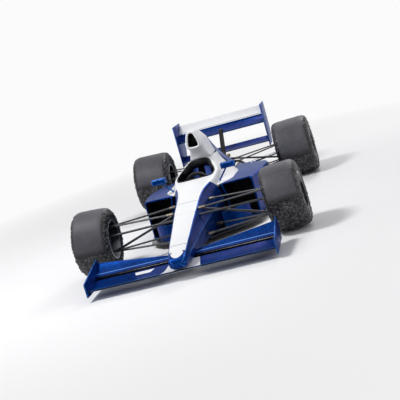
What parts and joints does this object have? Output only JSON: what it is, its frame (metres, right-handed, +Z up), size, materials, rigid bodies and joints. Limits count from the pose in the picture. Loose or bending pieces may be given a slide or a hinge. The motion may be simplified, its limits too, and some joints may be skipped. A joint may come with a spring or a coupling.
{
  "type": "open wheel racing car",
  "caption": "Single seat open wheel racing car with wings, wide slick tyres, steering front wheels and turning rear wheels.",
  "frame": {"origin": "on the ground under the middle of the car's length, on its centre line", "axes": "+X to the car's left, -Y to its front, +Z up"},
  "size_m": [2.1698, 4.32, 0.968],
  "materials": {
    "body_paint": "blue with white areas, gloss",
    "wing_paint": "blue gloss",
    "white_paint": "white gloss",
    "mirror_paint": "blue gloss, glass behind",
    "carbon": "dark fibre weave, satin",
    "seat_shell": "dark fibre shell",
    "cockpit_padding": "dark padded cloth",
    "belt_webbing": "blue webbing",
    "engine_metal": "cast, rough",
    "gearbox_metal": "cast, dark",
    "radiator_core": "finned, dark",
    "exhaust_steel": "heat tinted",
    "shaft_steel": "machined",
    "lamp_red": "red lens",
    "steering_wheel_grip": "suede grip",
    "suspension_tube": "dark satin",
    "upright_metal": "machined, dark",
    "tyre_rubber": "worn slick rubber",
    "rim_metal": "dark forged",
    "brake_carbon": "dark disc"
  },
  "bodies": {
    "chassis": {"nose_cone": "body_paint", "monocoque": "body_paint", "headrest": "cockpit_padding", "seat": "seat_shell", "harness": "belt_webbing", "airbox": "body_paint", "engine_cover": "body_paint", "engine": "engine_metal", "gearbox": "gearbox_metal", "undertray": "carbon", "diffuser": "carbon", "sidepod_left": "body_paint", "sidepod_right": "body_paint", "radiators": "radiator_core", "bargeboards": "wing_paint", "mirrors": "mirror_paint", "front_wing": "wing_paint", "front_flaps": "wing_paint", "front_end_plates": "wing_paint", "front_upper_wishbones": "suspension_tube", "front_lower_wishbones": "suspension_tube", "front_pushrods": "suspension_tube", "rear_upper_wishbones": "suspension_tube", "rear_lower_wishbones": "suspension_tube", "rear_pushrods": "suspension_tube", "rear_uprights": "upright_metal", "driveshafts": "shaft_steel", "exhausts": "exhaust_steel", "rear_wing": "wing_paint", "rear_flap": "white_paint", "beam_wing": "wing_paint", "rear_end_plates": "wing_paint", "rear_wing_pillar": "carbon", "rear_light": "lamp_red"},
    "steering_wheel": {"steering_wheel": "steering_wheel_grip"},
    "steering_rack": {"steering_rack": "suspension_tube"},
    "upright_left": {"front_upright_left": "upright_metal"},
    "wheel_front_left": {"front_tyre_left": "tyre_rubber", "front_rim_left": "rim_metal", "front_brake_disc_left": "brake_carbon"},
    "wheel_rear_left": {"rear_tyre_left": "tyre_rubber", "rear_rim_left": "rim_metal", "rear_brake_disc_left": "brake_carbon"},
    "upright_right": {"front_upright_right": "upright_metal"},
    "wheel_front_right": {"front_tyre_right": "tyre_rubber", "front_rim_right": "rim_metal", "front_brake_disc_right": "brake_carbon"},
    "wheel_rear_right": {"rear_tyre_right": "tyre_rubber", "rear_rim_right": "rim_metal", "rear_brake_disc_right": "brake_carbon"}
  },
  "joints": [
    {"name": "steer_left", "type": "hinge", "parent": "chassis", "child": "upright_left", "pos_m": [0.79216, -1.26, 0.29973], "axis": [-0.061, 0, 0.9981], "range_deg": [-14, 14]},
    {"name": "steer_right", "type": "hinge", "parent": "chassis", "child": "upright_right", "pos_m": [-0.79216, -1.26, 0.29973], "axis": [0.061, 0, 0.9981], "range_deg": [-14, 14]},
    {"name": "rack_slide", "type": "slide", "parent": "chassis", "child": "steering_rack", "axis": [1, 0, 0], "range_m": [-0.0266, 0.0266]},
    {"name": "steering_column", "type": "hinge", "parent": "chassis", "child": "steering_wheel", "pos_m": [0, -0.45, 0.47], "axis": [0, 0.9781, 0.2079], "range_deg": [-140, 140]},
    {"name": "front_wheel_spin_left", "type": "hinge", "parent": "upright_left", "child": "wheel_front_left", "pos_m": [0.88, -1.26, 0.3051], "axis": [0.9981, 0, 0.061], "continuous": true},
    {"name": "rear_wheel_spin_left", "type": "hinge", "parent": "chassis", "child": "wheel_rear_left", "pos_m": [0.86, 1.46, 0.33972], "axis": [0.9994, 0, 0.0349], "continuous": true},
    {"name": "front_wheel_spin_right", "type": "hinge", "parent": "upright_right", "child": "wheel_front_right", "pos_m": [-0.88, -1.26, 0.3051], "axis": [0.9981, 0, -0.061], "continuous": true},
    {"name": "rear_wheel_spin_right", "type": "hinge", "parent": "chassis", "child": "wheel_rear_right", "pos_m": [-0.86, 1.46, 0.33972], "axis": [0.9994, 0, -0.0349], "continuous": true}
  ],
  "couplings": [
    {"joint": "steer_right", "follows": "steer_left", "ratio": 1},
    {"joint": "rack_slide", "follows": "steer_left", "m_per_rad": 0.107},
    {"joint": "steering_column", "follows": "steer_left", "ratio": 10}
  ]
}
